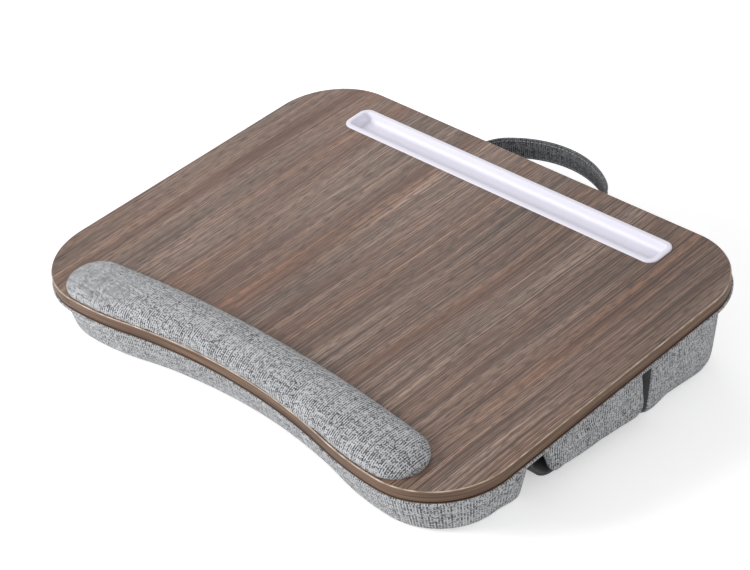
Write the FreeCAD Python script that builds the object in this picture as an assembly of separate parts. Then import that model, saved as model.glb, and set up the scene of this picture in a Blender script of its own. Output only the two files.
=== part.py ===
import FreeCAD, Part
import math
import os

# A padded lap desk: a walnut-look board on a fabric-covered base with two wedge bolsters.
# A storage drawer hangs on runners in the channel between the bolsters and pulls out to +X.
# Everything is modelled in the desk frame: the origin is the middle of the board's top face,
# +X is the drawer's way out, +Y is the rear edge with the carrying strap, +Z is out of the face.
# The last step tips the desk frame by the wedge angle and sets the bolsters on the floor.

# Board outline
desk_width = 520.0
desk_depth = 395.5
rear_corner_r = 67.5
front_corner_r = 72.0
front_sweep = 19.6
sweep_turn_x = 122.0

# Board layers, from the top down
laminate_t = 0.7
core_t = 8.6
balance_t = 0.7
edge_band_t = 1.0
edge_band_chamfer = 0.6
adhesive_t = 0.8
adhesive_inset = 3.0

# Base panel and the fabric that wraps it
base_panel_t = 2.4
base_cover_t = 0.6
base_turn_in = 14.0

# Wedge and height
wedge_deg = 7.0
mid_height = 76.0

# Media tray in the board
media_length = 375.0
media_width = 34.0
media_rear_margin = 42.75
media_corner_r = 10.0
media_rim_t = 1.4
media_rim_w = 5.0
media_rim_round = 0.9
media_wall_t = 1.6
media_floor_gap = 0.6
media_floor_round = 7.0
media_fit_gap = 0.4

# Wrist rest
wrist_length = 423.0
wrist_front_inset = 1.0
wrist_depth = 66.75
wrist_rear_drop = 14.5
wrist_height = 18.0
wrist_crown_r = 15.0
wrist_wadding_t = 6.0
wrist_board_t = 2.0

# Bolsters
front_wadding_t = 7.0
rear_wadding_t = 12.0
front_bolster_side = 11.0
front_bolster_front = 5.2
front_bolster_depth = 58.0
front_bolster_corner_r = 63.0
bolster_extra_sweep = 4.0
front_bolster_draft = 0.15
rear_bolster_side = 6.5
rear_bolster_rear = 8.0
rear_bolster_corner_r = 66.0
rear_bolster_draft = 0.12
front_bolster_end_r = 9.0
rear_bolster_end_r = 20.0
front_bolster_bevel = 6.0
rear_bolster_bevel = 15.0

# Drawer sleeve, the felt tunnel between the bolsters
sleeve_front_y = -80.0
sleeve_rear_y = 53.0
sleeve_gap = 1.5
sleeve_t = 2.5
sleeve_flange_w = 26.0
sleeve_floor_gap = 5.5
sleeve_front_corner_r = 27.0
sleeve_rear_corner_r = 14.0
sleeve_end_inset = 14.0
sleeve_mouth_gap = 1.5

# Runners
runner_clear = 1.0
runner_web_t = 1.6
runner_plate_t = 2.2
runner_plate_w = 22.0
runner_slot_h = 4.0
runner_lip_t = 1.8
runner_lip_w = 6.8
runner_end_t = 2.4
runner_mouth_gap = 2.7
runner_screws_per_side = 3
runner_screw_end = 28.0
runner_screw_in = 5.0

# Drawer tray
tray_length = 440.0
tray_wall_t = 2.2
tray_flange_t = 2.4
tray_slide_gap = 0.8
tray_side_gap = 0.7
tray_corner_r = 12.0
tray_front_lean = 12.0
tray_floor_gap = 13.5
hook_length = 12.0
hook_width = 2.8
stop_rib_length = 6.0
stop_rib_gap = 0.6
drawer_travel = 320.0
stop_gap = 0.3
rest_gap = 1.0

# Drawer front
front_inset = 8.7
front_board_t = 2.4
front_foam_t = 3.1
front_cover_t = 3.0
front_top_gap = 1.2
front_low_y = -75.5
front_high_y = 50.0
front_low_lean = 15.5
front_high_lean = 0.0
front_floor_gap = 12.2
front_outline_r = 5.5
front_rear_foot_r = 11.0
front_face_round = 5.0
front_board_inset = 1.2
front_foam_inset = 4.0

# Screws
screw_r = 1.75
screw_head_r = 3.5
screw_head_t = 1.2
screw_length = 7.5
front_screw_r = 1.5
front_screw_head_r = 3.0
front_screw_head_t = 1.8
front_screw_bite = 1.8
front_screw_spread = 80.0
front_screw_drop = 16.0

# Carrying strap
strap_width = 22.5
strap_t = 3.0
strap_drop = 1.0
strap_span = 147.0
strap_reach = 51.0
strap_arch_r = 100.0
strap_bend_r = 34.0
strap_foot_r = 8.0
strap_tab_length = 28.0

V = FreeCAD.Vector
wedge = math.radians(wedge_deg)
half_width = desk_width / 2
half_depth = desk_depth / 2
reach = 2 * mid_height
media_centre_y = half_depth - media_rear_margin

# Levels in the desk frame
board_t = laminate_t + core_t + balance_t
base_top = -board_t - adhesive_t
underside = base_top - 2 * base_cover_t - base_panel_t
flange_under = underside - sleeve_t
plate_under = flange_under - runner_plate_t
lip_top = plate_under - runner_slot_h
tray_top = plate_under - tray_slide_gap


# ---------------------------------------------------------------- shared geometry

def arc(centre_x, centre_y, radius, start_deg, end_deg, z):
    """Arc in the plane at height z, from one angle to the other."""
    points = []
    for angle in (start_deg, (start_deg + end_deg) / 2, end_deg):
        turn = math.radians(angle)
        points.append(V(centre_x + radius * math.cos(turn), centre_y + radius * math.sin(turn), z))
    return Part.Arc(*points).toShape()


def loop(pieces):
    """Closed wire through arcs and corner points in order, with straight lines across the gaps."""
    ends = []
    for piece in pieces:
        if isinstance(piece, V):
            ends.append((piece, piece))
        else:
            ends.append((piece.Vertexes[0].Point, piece.Vertexes[-1].Point))
    edges = []
    for index, piece in enumerate(pieces):
        before = ends[index - 1][1]
        start = ends[index][0]
        if before.distanceToPoint(start) > 1e-6:
            edges.append(Part.makeLine(before, start))
        if not isinstance(piece, V):
            edges.append(piece)
    return Part.Wire(edges)


def slab(wire, height):
    """Solid that stands on a flat wire."""
    return Part.Face(wire).extrude(V(0, 0, height))


def box(x_low, x_high, y_low, y_high, z_low, z_high):
    """Block between two corners."""
    return Part.makeBox(x_high - x_low, y_high - y_low, z_high - z_low, V(x_low, y_low, z_low))


def yz_prism(points, x_low, x_high):
    """Block along X with a cross-section given as (y, z) points."""
    wire = Part.makePolygon([V(x_low, y, z) for y, z in points + points[:1]])
    return Part.Face(wire).extrude(V(x_high - x_low, 0, 0))


def edges_where(shape, test):
    """Edges whose every end point passes a test."""
    return [edge for edge in shape.Edges if all(test(vertex.Point) for vertex in edge.Vertexes)]


def is_steep(edge, drop):
    """True for an edge that climbs by more than the given drop."""
    heights = [vertex.Z for vertex in edge.Vertexes]
    return max(heights) - min(heights) > drop


def front_curve(z, inset, run, sweep):
    """The hollow front edge: a shoulder, a hollow and a shoulder, level at x = -run and +run."""
    angle = 2 * math.atan(sweep / run)
    hollow_r = sweep_turn_x / math.sin(angle)
    shoulder_r = (run - sweep_turn_x) / math.sin(angle)
    hollow_y = -half_depth + sweep - hollow_r
    shoulder_y = -half_depth + shoulder_r
    turn = math.degrees(angle)
    return [
        arc(-run, shoulder_y, shoulder_r - inset, 270, 270 + turn, z),
        arc(0, hollow_y, hollow_r + inset, 90 + turn, 90 - turn, z),
        arc(run, shoulder_y, shoulder_r - inset, 270 - turn, 270, z),
    ]


def desk_outline(z, side, front, rear, front_r, rear_r, sweep=front_sweep):
    """Closed outline like the board's, set in from it by its own amount on each edge."""
    front_x = half_width - side - front_r
    front_y = -half_depth + front + front_r
    rear_x = half_width - side - rear_r
    rear_y = half_depth - rear - rear_r
    corners = [
        arc(front_x, front_y, front_r, 270, 360, z),
        arc(rear_x, rear_y, rear_r, 0, 90, z),
        arc(-rear_x, rear_y, rear_r, 90, 180, z),
        arc(-front_x, front_y, front_r, 180, 270, z),
    ]
    return loop(front_curve(z, front, half_width - side - front_r, sweep) + corners)


def board_outline(z, inset):
    """The board's outline, set in evenly."""
    return desk_outline(z, inset, inset, inset, front_corner_r - inset, rear_corner_r - inset)


def desk_to_floor():
    """Placement that tips the desk frame by the wedge and lifts it onto the floor."""
    turn = FreeCAD.Rotation(V(1, 0, 0), wedge_deg)
    return FreeCAD.Placement(V(0, 0, mid_height * math.cos(wedge)), turn)


def room_above_floor(height):
    """Everything above a height over the floor, seen from the desk frame."""
    room = box(-desk_width, desk_width, -desk_depth, desk_depth, height, height + 2 * reach)
    room.Placement = desk_to_floor().inverse()
    return room


def floor_level(y, height):
    """Desk-frame z of a height over the floor, at a given y."""
    return -mid_height - y * math.tan(wedge) + height / math.cos(wedge)


def on_floor(height):
    """Test for points that lie at a height over the floor."""
    return lambda point: abs(point.z - floor_level(point.y, height)) < 0.01


def side_foot(y_top, z_top, lean, height, towards):
    """Where a leaning side, dropped from (y_top, z_top), meets a height over the floor."""
    slope = towards * math.tan(math.radians(lean))
    depth = (z_top - floor_level(y_top, height)) / (1 - slope * math.tan(wedge))
    return y_top + slope * depth, z_top - depth


def trough_section(z_top, front, rear, height):
    """Four (y, z) corners of a channel section: level top, leaning sides, floor-parallel bottom."""
    front_y, front_lean = front
    rear_y, rear_lean = rear
    front_foot = side_foot(front_y, z_top, front_lean, height, 1)
    rear_foot = side_foot(rear_y, z_top, rear_lean, height, -1)
    return [(front_y, z_top), front_foot, rear_foot, (rear_y, z_top)]


def trough(z_top, front, rear, height, corner_radii, x_low, x_high):
    """Solid block with that section and rounded bottom corners."""
    body = yz_prism(trough_section(z_top, front, rear, height), x_low, x_high)
    feet = [edge for edge in edges_where(body, on_floor(height)) if edge.Length > 0.9 * (x_high - x_low)]
    feet.sort(key=lambda edge: edge.CenterOfMass.y)
    for corner_r, foot in zip(corner_radii, [edge.CenterOfMass for edge in feet]):
        body = body.makeFillet(corner_r, [edge for edge in body.Edges if edge.CenterOfMass.isEqual(foot, 0.01)])
    return body


# ---------------------------------------------------------------- board

def media_block(z_low, z_high, inset, corner_r):
    """Rounded bar at the media tray's place, set in from the tray's rim outline."""
    length = media_length - 2 * inset
    width = media_width - 2 * inset
    bar = box(-length / 2, length / 2, media_centre_y - width / 2, media_centre_y + width / 2, z_low, z_high)
    upright = [edge for edge in bar.Edges if is_steep(edge, (z_high - z_low) / 2)]
    return bar.makeFillet(corner_r, upright)


media_body_inset = media_rim_w - media_wall_t
media_body_r = media_corner_r - media_body_inset


def media_hole():
    """Slot through the board that the media tray drops into."""
    return media_block(-board_t - 1, 1, media_body_inset - media_fit_gap, media_body_r + media_fit_gap)


def runner_screw_places():
    """Where the runner screws go up into the base panel."""
    places = []
    first = runner_left() + runner_screw_end
    last = runner_right() - runner_screw_end
    for y in runner_screw_lines():
        for index in range(runner_screws_per_side):
            x = first + (last - first) * index / (runner_screws_per_side - 1)
            places.append((x, y))
    return places


def runner_screw(x, y):
    """Flat-headed wood screw with its head sunk flush in the runner's underside."""
    head = Part.makeCylinder(screw_head_r, screw_head_t, V(x, y, plate_under))
    shank = Part.makeCylinder(screw_r, screw_length - screw_head_t, V(x, y, plate_under + screw_head_t))
    return head.fuse(shank).removeSplitter()


def without_screws(body):
    """The body with a snug hole for each runner screw."""
    return body.cut(runner_screws())


def top_laminate():
    """Decor laminate with the slot cut through it."""
    sheet = slab(board_outline(-laminate_t, edge_band_t), laminate_t)
    return sheet.cut(media_hole())


def desk_board():
    """Fibreboard core."""
    core = slab(board_outline(-laminate_t - core_t, edge_band_t), core_t)
    return core.cut(media_hole())


def balance_sheet():
    """Backing laminate that keeps the board flat."""
    sheet = slab(board_outline(-board_t, edge_band_t), balance_t)
    return sheet.cut(media_hole())


def edge_band():
    """Edging strip round the board, bevelled along its top corner."""
    outer = slab(board_outline(-board_t, 0), board_t)
    outer = outer.makeChamfer(edge_band_chamfer, edges_where(outer, lambda point: abs(point.z) < 1e-6))
    return outer.cut(slab(board_outline(-board_t, edge_band_t), board_t))


def media_tray():
    """Moulded tray: a rounded rim on the board and a trough with a round bottom below it."""
    rim = media_block(0, media_rim_t, 0, media_corner_r)
    rim = rim.makeFillet(media_rim_round, edges_where(rim, lambda point: abs(point.z - media_rim_t) < 1e-6))
    floor_z = media_floor_gap + media_wall_t - board_t
    body = media_block(-board_t + media_floor_gap, 0.5 * media_rim_t, media_body_inset, media_body_r)
    hollow = media_block(floor_z, media_rim_t + 1, media_rim_w, media_corner_r - media_rim_w)
    low_edges = edges_where(hollow, lambda point: abs(point.z - floor_z) < 1e-6)
    hollow = hollow.makeFillet(min(media_floor_round, media_corner_r - media_rim_w - 0.1), low_edges)
    return rim.fuse(body).cut(hollow).removeSplitter()


# ---------------------------------------------------------------- wrist rest

def wrist_block(z_low, z_high, inset):
    """Bean-shaped block: its front follows the board's front edge and its ends are full rounds."""
    half_length = wrist_length / 2
    front_y = -half_depth + wrist_front_inset
    rear_r = (half_length ** 2 + wrist_rear_drop ** 2) / (2 * wrist_rear_drop)
    lead = 2 * rear_r - half_length - wrist_depth
    end_r = math.sqrt(lead ** 2 - half_length ** 2 - wrist_depth ** 2 + 2 * rear_r * wrist_depth) - lead
    end_x = half_length - end_r
    end_y = front_y + end_r
    rear_centre = front_y + wrist_depth - rear_r
    rear_turn = math.degrees(math.atan2(end_y - rear_centre, end_x))
    pieces = front_curve(z_low, wrist_front_inset + inset, end_x, front_sweep)
    pieces.append(arc(end_x, end_y, end_r - inset, -90, rear_turn, z_low))
    pieces.append(arc(0, rear_centre, rear_r - inset, rear_turn, 180 - rear_turn, z_low))
    pieces.append(arc(-end_x, end_y, end_r - inset, 180 - rear_turn, 270, z_low))
    return slab(loop(pieces), z_high - z_low)


def wrist_pocket():
    """Room inside the wrist rest's cover for the board and the foam core."""
    return wrist_block(0, wrist_height - wrist_wadding_t, wrist_wadding_t)


def wrist_rest_cover():
    """Fabric and wadding of the wrist rest, with the top edge rolled over into a crown."""
    block = wrist_block(0, wrist_height, 0)
    crown = edges_where(block, lambda point: abs(point.z - wrist_height) < 1e-6)
    return block.makeFillet(wrist_crown_r, crown).cut(wrist_pocket())


def wrist_rest_board():
    """Thin backing board that is stuck to the desk."""
    return wrist_block(0, wrist_board_t, wrist_wadding_t)


def wrist_rest_foam():
    """Foam core on the backing board."""
    return wrist_block(wrist_board_t, wrist_height - wrist_wadding_t, wrist_wadding_t)


# ---------------------------------------------------------------- base

def adhesive_sheet():
    """Mounting sheet between the board and the base, set back so a dark line shows."""
    return slab(board_outline(base_top, adhesive_inset), adhesive_t)


def base_panel():
    """Hardboard panel inside the base's fabric."""
    return without_screws(slab(board_outline(underside + base_cover_t, 0), base_panel_t))


def base_cover():
    """Fabric that wraps the base panel and turns in over its top edge."""
    wrap = slab(board_outline(underside, -base_cover_t), base_top - underside)
    wrap = wrap.cut(slab(board_outline(underside + base_cover_t, 0), base_panel_t))
    wrap = wrap.cut(slab(board_outline(base_top - base_cover_t, base_turn_in), base_cover_t))
    return without_screws(wrap)


# ---------------------------------------------------------------- bolsters

channel_front_y = sleeve_front_y - sleeve_gap
channel_rear_y = sleeve_rear_y + sleeve_gap


def channel_face(y_top, towards, inset, z):
    """The y of a bolster's channel face, upright on the floor, at desk-frame height z."""
    return y_top - math.tan(wedge) * (underside - z) + towards * inset / math.cos(wedge)


def behind_channel(y_top, towards, inset):
    """Everything on the bolster's side of its channel face and under the base."""
    far = towards * desk_depth
    low = underside - reach
    section = [(channel_face(y_top, towards, inset, underside), underside),
               (channel_face(y_top, towards, inset, low), low), (far, low), (far, underside)]
    return yz_prism(section, -desk_width, desk_width)


def drafted_body(side, front, corner_r, rear_r, draft):
    """Block under the base with the board's outline and walls that lean in by the draft."""
    wires = []
    for depth in (0, reach):
        lean = depth * draft
        wires.append(desk_outline(
            underside - depth, side + lean, front + lean, rear_bolster_rear + lean,
            corner_r - lean, rear_r - lean, front_sweep + bolster_extra_sweep))
    return Part.makeLoft(wires, True, True)


def bolster(body, y_top, towards, bevel, end_r):
    """One wedge: the drafted body on one side of the channel, cut off level with the floor."""
    wedge_body = body.common(behind_channel(y_top, towards, 0)).common(room_above_floor(0))
    on_face = edges_where(wedge_body, lambda point: abs(point.y - channel_face(y_top, towards, 0, point.z)) < 0.01)
    ends = [edge for edge in on_face if is_steep(edge, bevel)]
    wedge_body = wedge_body.makeFillet(end_r, ends)
    return wedge_body.makeChamfer(bevel, edges_where(wedge_body, on_floor(0)))


def bolster_core(side, front, rear, corner_r, y_top, towards, wadding_t):
    """Foam block inside a bolster, with upright walls, cut level above the floor."""
    outline = desk_outline(underside - reach, side, front, rear, corner_r, corner_r,
                           front_sweep + bolster_extra_sweep)
    block = slab(outline, reach)
    return block.common(behind_channel(y_top, towards, wadding_t)).common(room_above_floor(wadding_t))


def front_bolster_fill():
    """Foam core of the low front wedge."""
    inset = front_wadding_t + front_bolster_draft * front_bolster_depth
    return bolster_core(front_bolster_side + inset, front_bolster_front + inset, 0,
                        front_bolster_corner_r - inset, channel_front_y, -1, front_wadding_t)


def front_bolster_cover():
    """Fabric and wadding of the low front wedge, open where it is sewn to the base."""
    body = drafted_body(front_bolster_side, front_bolster_front, front_bolster_corner_r,
                        rear_bolster_corner_r - front_bolster_side, front_bolster_draft)
    whole = bolster(body, channel_front_y, -1, front_bolster_bevel, front_bolster_end_r)
    return whole.cut(front_bolster_fill())


def rear_bolster_shape():
    """The tall rear wedge, before it is hollowed for its core."""
    body = drafted_body(rear_bolster_side, front_bolster_front, front_bolster_corner_r,
                        rear_bolster_corner_r, rear_bolster_draft)
    return bolster(body, channel_rear_y, 1, rear_bolster_bevel, rear_bolster_end_r)


def rear_bolster_fill():
    """Foam core of the tall rear wedge."""
    inset = rear_wadding_t + rear_bolster_draft * mid_height
    return bolster_core(rear_bolster_side + inset, 0, rear_bolster_rear + inset,
                        rear_bolster_corner_r - inset, channel_rear_y, 1, rear_wadding_t)


def rear_bolster_cover():
    """Fabric and wadding of the tall rear wedge, open where it is sewn to the base."""
    return rear_bolster_shape().cut(rear_bolster_fill())


# ---------------------------------------------------------------- drawer sleeve and runners

sleeve_inner_front = sleeve_front_y + sleeve_t
sleeve_inner_rear = sleeve_rear_y - sleeve_t
runner_depth = underside - lip_top + runner_lip_t
runner_outer_front = sleeve_inner_front + runner_clear
runner_outer_rear = sleeve_inner_rear - runner_clear - runner_depth * math.tan(wedge)
pad_plane = half_width - front_inset - front_cover_t - front_foam_t
front_plane = pad_plane - front_board_t


def runner_left():
    """Closed end of the runners."""
    return front_plane - tray_length - rest_gap - runner_end_t


def runner_right():
    """Open end of the runners."""
    return front_plane - sleeve_mouth_gap - runner_mouth_gap


def runner_screw_lines():
    """The y of the front and the rear row of runner screws."""
    across = runner_plate_w - runner_screw_in
    return runner_outer_front + across, runner_outer_rear - across


def runner_screws():
    """All the runner screws as one group."""
    return Part.makeCompound([runner_screw(x, y) for x, y in runner_screw_places()])


def drawer_sleeve():
    """Felt tunnel, closed at its left end, with flanges that the runners clamp to the base."""
    left = sleeve_end_inset - half_width
    right = front_plane - sleeve_mouth_gap
    radii = (sleeve_front_corner_r, sleeve_rear_corner_r)
    inner_radii = (sleeve_front_corner_r - sleeve_t, sleeve_rear_corner_r - sleeve_t)
    outer = trough(underside, (sleeve_front_y, -wedge_deg), (sleeve_rear_y, wedge_deg),
                   sleeve_floor_gap, radii, left, right)
    inner = trough(underside, (sleeve_inner_front, -wedge_deg), (sleeve_inner_rear, wedge_deg),
                   sleeve_floor_gap + sleeve_t, inner_radii, left + sleeve_t, right + 1)
    shell = outer.cut(inner)
    for y_low, y_high in ((sleeve_inner_front, sleeve_inner_front + sleeve_flange_w),
                          (sleeve_inner_rear - sleeve_flange_w, sleeve_inner_rear)):
        shell = shell.fuse(box(left + sleeve_t, right, y_low, y_high, flange_under, underside))
    return without_screws(shell.removeSplitter())


def runner(outer_y, towards):
    """Channel rail: plate, web, lip, a closed end and a stop rib for the tray's hook."""
    def across(start, end):
        return sorted((outer_y + towards * start, outer_y + towards * end))
    left = runner_left()
    right = runner_right()
    lip_end = runner_web_t + runner_lip_w
    plate = box(left, right, *across(0, runner_plate_w), plate_under, flange_under)
    web = box(left, right, *across(0, runner_web_t), lip_top - runner_lip_t, plate_under)
    lip = box(left, right, *across(runner_web_t, lip_end), lip_top - runner_lip_t, lip_top)
    end = box(left, left + runner_end_t, *across(runner_web_t, lip_end), lip_top, plate_under)
    rib_left = left + runner_end_t + rest_gap + hook_length + drawer_travel + stop_gap
    rib_width = tray_side_gap + hook_width - stop_rib_gap
    rib = box(rib_left, rib_left + stop_rib_length, *across(runner_web_t, runner_web_t + rib_width),
              lip_top, plate_under)
    return without_screws(plate.fuse([web, lip, end, rib]).removeSplitter())


def runner_front():
    """Rail along the front side of the drawer."""
    return runner(runner_outer_front, 1)


def runner_rear():
    """Rail along the rear side of the drawer."""
    return runner(runner_outer_rear, -1)


# ---------------------------------------------------------------- drawer

flange_front_y = runner_outer_front + runner_web_t + tray_side_gap
flange_rear_y = runner_outer_rear - runner_web_t - tray_side_gap
tray_front_y = runner_outer_front + runner_web_t + runner_lip_w + tray_slide_gap
tray_rear_y = runner_outer_rear - runner_web_t - runner_lip_w - tray_slide_gap
front_screw_y = (tray_front_y + tray_rear_y) / 2


def drawer_tray():
    """Moulded tray: rounded bottom corners, sliding flanges, and a hook at each flange's inner end."""
    left = front_plane - tray_length
    inner_r = tray_corner_r - tray_wall_t
    outer = trough(tray_top, (tray_front_y, tray_front_lean), (tray_rear_y, 0),
                   tray_floor_gap, (tray_corner_r, tray_corner_r), left, front_plane)
    inner = trough(tray_top, (tray_front_y + tray_wall_t, tray_front_lean), (tray_rear_y - tray_wall_t, 0),
                   tray_floor_gap + tray_wall_t, (inner_r, inner_r), left + tray_wall_t, front_plane - tray_wall_t)
    shell = outer.cut(inner)
    low = tray_top - tray_flange_t
    right = runner_right() - rest_gap
    for edge_y, wall_y, towards in ((flange_front_y, tray_front_y, 1), (flange_rear_y, tray_rear_y, -1)):
        rail_y = edge_y + towards * hook_width
        root_y = wall_y + towards * tray_wall_t / 2
        hook = box(left, left + hook_length, *sorted((edge_y, root_y)), low, tray_top)
        rail = box(left, right, *sorted((rail_y, root_y)), low, tray_top)
        shell = shell.fuse([hook, rail])
    shell = shell.cut(inner).removeSplitter()
    return shell.cut(drawer_front_screws())


def front_screw(y, z):
    """Pan-head screw from inside the tray into the drawer front's board."""
    inside = front_plane - tray_wall_t
    head_base = V(inside - front_screw_head_t, y, z)
    head = Part.makeCylinder(front_screw_head_r, front_screw_head_t, head_base, V(1, 0, 0))
    shank = Part.makeCylinder(front_screw_r, tray_wall_t + front_screw_bite, V(inside, y, z), V(1, 0, 0))
    return head.fuse(shank).removeSplitter()


def drawer_front_screws():
    """The two screws that hold the drawer front, as one group."""
    half_spread = front_screw_spread / 2
    places = (front_screw_y - half_spread, front_screw_y + half_spread)
    return Part.makeCompound([front_screw(y, tray_top - front_screw_drop) for y in places])


def front_outline(inset):
    """(y, z) corners of the drawer front's face."""
    slope = 1 / math.cos(wedge)
    section = trough_section(underside - front_top_gap - inset,
                             (front_low_y + inset * slope, front_low_lean),
                             (front_high_y - inset * slope, front_high_lean),
                             front_floor_gap + inset)
    return section


def front_block(x_low, x_high, inset):
    """Panel with the drawer front's outline and rounded corners."""
    section = front_outline(inset)
    panel = yz_prism(section, x_low, x_high)
    along = [edge for edge in panel.Edges if edge.BoundBox.XLength > 0.9 * (x_high - x_low)]
    is_rear_foot = [abs(edge.CenterOfMass.z - section[2][1]) < 0.01 for edge in along]
    rear_foot = [edge for edge, picked in zip(along, is_rear_foot) if picked]
    others = [edge.CenterOfMass for edge, picked in zip(along, is_rear_foot) if not picked]
    panel = panel.makeFillet(front_rear_foot_r - inset, rear_foot)
    corners = [edge for edge in panel.Edges if any(edge.CenterOfMass.isEqual(place, 0.01) for place in others)]
    return panel.makeFillet(front_outline_r - inset, corners)


def drawer_front_board():
    """Stiff backing board of the drawer front."""
    board = front_block(front_plane, pad_plane, front_board_inset)
    return board.cut(drawer_front_screws())


def drawer_front_foam():
    """Foam slab on the board."""
    return front_block(pad_plane, pad_plane + front_foam_t, front_foam_inset)


def drawer_front_cover():
    """Fabric and wadding of the drawer front, with a soft edge all round its face."""
    face_x = pad_plane + front_foam_t + front_cover_t
    pad = front_block(pad_plane, face_x, 0)
    pad = pad.makeFillet(front_face_round, edges_where(pad, lambda point: abs(point.x - face_x) < 0.01))
    return pad.cut(drawer_front_foam())


# ---------------------------------------------------------------- carrying strap

def strap_half(offset, z):
    """Right half of one edge line of the strap, from its foot to the crown of its arch."""
    leg_x = strap_span / 2
    crown_y = half_depth + strap_reach
    arch_y = crown_y - strap_arch_r
    bend_x = leg_x - strap_bend_r
    rise = math.sqrt((strap_arch_r - strap_bend_r) ** 2 - bend_x ** 2)
    bend_y = arch_y + rise
    turn = math.degrees(math.atan2(rise, bend_x))
    foot_x = leg_x + strap_foot_r
    foot_y = rear_face_y() + strap_t / 2 + strap_foot_r
    return [
        arc(foot_x, foot_y, strap_foot_r - offset, 270, 180, z),
        arc(bend_x, bend_y, strap_bend_r + offset, 0, turn, z),
        arc(0, arch_y, strap_arch_r + offset, turn, 90, z),
    ]


def rear_face_y():
    """Desk-frame y of the rear bolster's back at the seam."""
    return half_depth - rear_bolster_rear


def mirrored(edges):
    """The same edges on the other side of the middle, in reverse order."""
    flipped = []
    for edge in reversed(edges):
        points = [edge.valueAt(edge.LastParameter), edge.valueAt((edge.FirstParameter + edge.LastParameter) / 2),
                  edge.valueAt(edge.FirstParameter)]
        flipped.append(Part.Arc(*[V(-point.x, point.y, point.z) for point in points]).toShape())
    return flipped


def handle_strap():
    """Fabric carrying strap: an upright band with a sewn tab at each end."""
    low = underside - strap_drop - strap_width
    outer = strap_half(strap_t / 2, low)
    inner = strap_half(-strap_t / 2, low)
    outer_line = outer + mirrored(outer)
    inner_line = inner + mirrored(inner)
    inner_back = [reverse_arc(edge) for edge in reversed(inner_line)]
    band = slab(loop(outer_line + inner_back), strap_width)
    tab_near = strap_span / 2 + strap_foot_r
    tab_y = rear_face_y()
    depth = strap_width * rear_bolster_draft + strap_t
    for side in (-1, 1):
        x_low, x_high = sorted((side * tab_near, side * (tab_near + strap_tab_length)))
        band = band.fuse(box(x_low, x_high, tab_y - depth, tab_y + strap_t, low, low + strap_width))
    return band.cut(rear_bolster_shape()).removeSplitter()


def reverse_arc(edge):
    """The same arc, run the other way."""
    first = edge.FirstParameter
    last = edge.LastParameter
    points = [edge.valueAt(last), edge.valueAt((first + last) / 2), edge.valueAt(first)]
    return Part.Arc(*points).toShape()


# ---------------------------------------------------------------- assembly

nodes = {
    "top_laminate": top_laminate(),
    "desk_board": desk_board(),
    "balance_sheet": balance_sheet(),
    "edge_band": edge_band(),
    "media_tray": media_tray(),
    "wrist_rest_cover": wrist_rest_cover(),
    "wrist_rest_foam": wrist_rest_foam(),
    "wrist_rest_board": wrist_rest_board(),
    "adhesive_sheet": adhesive_sheet(),
    "base_panel": base_panel(),
    "base_cover": base_cover(),
    "front_bolster_cover": front_bolster_cover(),
    "front_bolster_fill": front_bolster_fill(),
    "rear_bolster_cover": rear_bolster_cover(),
    "rear_bolster_fill": rear_bolster_fill(),
    "drawer_sleeve": drawer_sleeve(),
    "runner_front": runner_front(),
    "runner_rear": runner_rear(),
    "runner_screws": runner_screws(),
    "drawer_tray": drawer_tray(),
    "drawer_front_board": drawer_front_board(),
    "drawer_front_foam": drawer_front_foam(),
    "drawer_front_cover": drawer_front_cover(),
    "drawer_front_screws": drawer_front_screws(),
    "handle_strap": handle_strap(),
}

# The row's origin is the middle of the footprint on the floor
whole = Part.makeCompound(list(nodes.values()))
whole.Placement = desk_to_floor()
extent = whole.optimalBoundingBox(False)
to_origin = V(-extent.Center.x, -extent.Center.y, -extent.ZMin)

os.makedirs("parts", exist_ok=True)
for name, shape in nodes.items():
    placed = shape.copy()
    placed.Placement = desk_to_floor().multiply(placed.Placement)
    placed.translate(to_origin)
    placed.exportStep("parts/" + name + ".step")
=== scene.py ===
import math

import bmesh
import bpy
import numpy as np
from mathutils import Matrix, Vector


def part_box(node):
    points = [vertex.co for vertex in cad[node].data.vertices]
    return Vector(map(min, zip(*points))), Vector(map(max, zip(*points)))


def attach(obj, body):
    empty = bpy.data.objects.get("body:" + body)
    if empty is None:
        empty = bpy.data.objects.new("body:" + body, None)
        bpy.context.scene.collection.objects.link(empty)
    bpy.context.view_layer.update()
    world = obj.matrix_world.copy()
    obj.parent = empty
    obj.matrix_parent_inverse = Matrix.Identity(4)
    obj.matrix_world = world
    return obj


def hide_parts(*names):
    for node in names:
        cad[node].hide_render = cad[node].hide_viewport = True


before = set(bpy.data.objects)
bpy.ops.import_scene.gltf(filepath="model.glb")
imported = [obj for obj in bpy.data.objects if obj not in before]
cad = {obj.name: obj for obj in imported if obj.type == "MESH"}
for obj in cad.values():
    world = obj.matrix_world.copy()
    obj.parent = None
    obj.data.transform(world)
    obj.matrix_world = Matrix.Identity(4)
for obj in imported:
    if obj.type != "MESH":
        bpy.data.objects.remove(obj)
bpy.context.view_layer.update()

# ---- Board face
# The face is a printed walnut laminate, 0.7 mm thick, pressed on to a fibreboard core.
# Its pores are fine and its print is satin, so it shows streaks from front to rear and no gloss.

# The meshes are drawn in the board's own frame: millimetres, origin in the middle of its face and
# +Y to the rear. The wedge under the board tips it by 7 degrees.
wedge = math.radians(7.0)
laminate_half_depth = 0.19675
laminate_t = 0.0007
laminate_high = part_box("top_laminate")[1]
board_centre = Vector((
    0.0,
    laminate_high.y - laminate_half_depth * math.cos(wedge) - laminate_t * math.sin(wedge),
    laminate_high.z - laminate_half_depth * math.sin(wedge),
))
board_place = Matrix.Translation(board_centre) @ Matrix.Rotation(wedge, 4, "X")


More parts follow.
